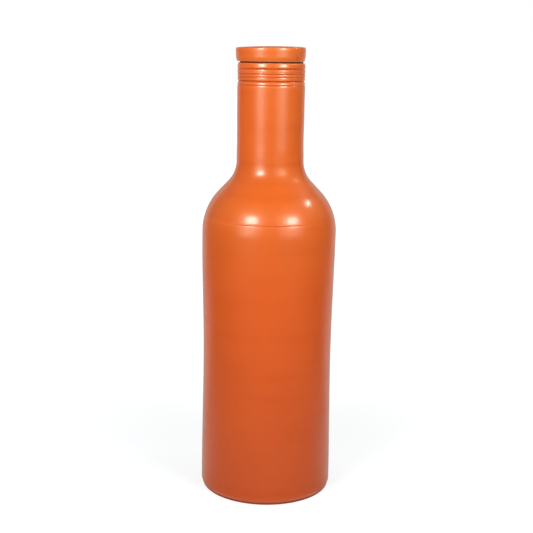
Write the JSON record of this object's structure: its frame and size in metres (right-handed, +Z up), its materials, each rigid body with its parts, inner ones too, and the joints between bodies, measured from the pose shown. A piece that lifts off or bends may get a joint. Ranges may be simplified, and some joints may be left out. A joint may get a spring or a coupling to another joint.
{
  "type": "clay water bottle",
  "caption": "Tall terracotta water bottle with a gently waisted body, sloping shoulder, straight grooved neck and a lift-out clay stopper lid on rubber seals.",
  "frame": {"origin": "centre of the foot, on the surface that the bottle stands on", "axes": "+Z up along the bottle's turning axis; X and Y are across it and alike, with -Y towards the picture's camera"},
  "size_m": [0.0898, 0.0898, 0.3],
  "materials": {
    "clay": "burnished terracotta, satin, unglazed",
    "slip": "dried clay slip, matt",
    "rubber": "soft, matt"
  },
  "bodies": {
    "bottle": {"lower_body": "clay", "seam_slip": "slip", "shoulder_and_neck": "clay"},
    "seal": {"lid_washer": "rubber"},
    "lid": {"lid": "clay", "plug_ring_upper": "rubber", "plug_ring_lower": "rubber"}
  },
  "joints": [
    {"name": "lid_lift", "type": "slide", "parent": "bottle", "child": "seal", "axis": [0, 0, 1], "range_m": [0, 0.06]},
    {"name": "lid_twist", "type": "hinge", "parent": "seal", "child": "lid", "pos_m": [0, 0, 0.2905], "axis": [0, 0, 1], "continuous": true}
  ]
}
